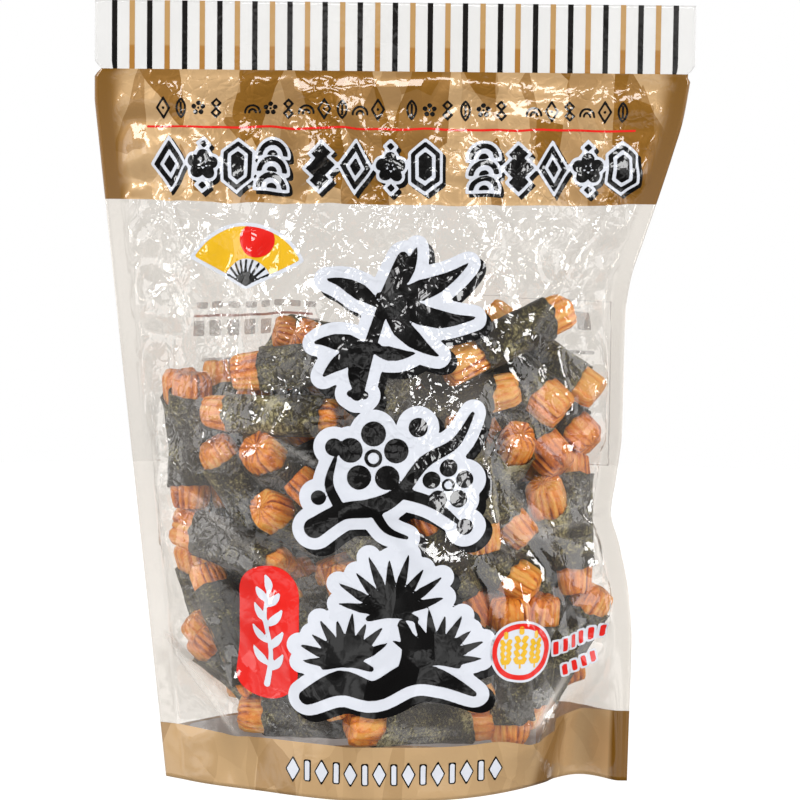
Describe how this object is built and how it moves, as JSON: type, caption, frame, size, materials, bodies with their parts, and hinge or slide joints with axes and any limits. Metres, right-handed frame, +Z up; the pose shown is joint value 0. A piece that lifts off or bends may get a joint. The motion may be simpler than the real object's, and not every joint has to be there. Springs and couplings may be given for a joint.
{
  "type": "sealed stand-up pouch of japanese rice crackers wrapped in seaweed",
  "caption": "Clear printed stand-up pouch with a striped flat header, side seals and a bottom gusset, swollen over a heap of seaweed-wrapped rice crackers.",
  "frame": {"origin": "on the ground, under the middle of the pouch", "axes": "+Z up along the pouch's height, +X to the right across the front panel, +Y from the front panel to the back"},
  "size_m": [0.18, 0.0735, 0.236],
  "materials": {
    "film_gold": "gold ink printed inside glossy laminate film",
    "film_white": "opaque white ink inside glossy laminate film, at the heat-sealed header",
    "film_clear": "clear glossy laminate film with a slight grey haze",
    "print_black": "black ink inside glossy film",
    "print_white": "white ink inside glossy film",
    "print_red": "red ink inside glossy film",
    "print_yellow": "yellow ink inside glossy film",
    "print_grey": "small dark print of the back panel, seen through the film",
    "cracker": "baked rice dough glazed with soy sauce, ridged, browned at the edges",
    "seaweed": "dry roasted nori sheet, black-green, fibrous"
  },
  "bodies": {
    "root": {"pouch": "film_gold"}
  },
  "joints": []
}
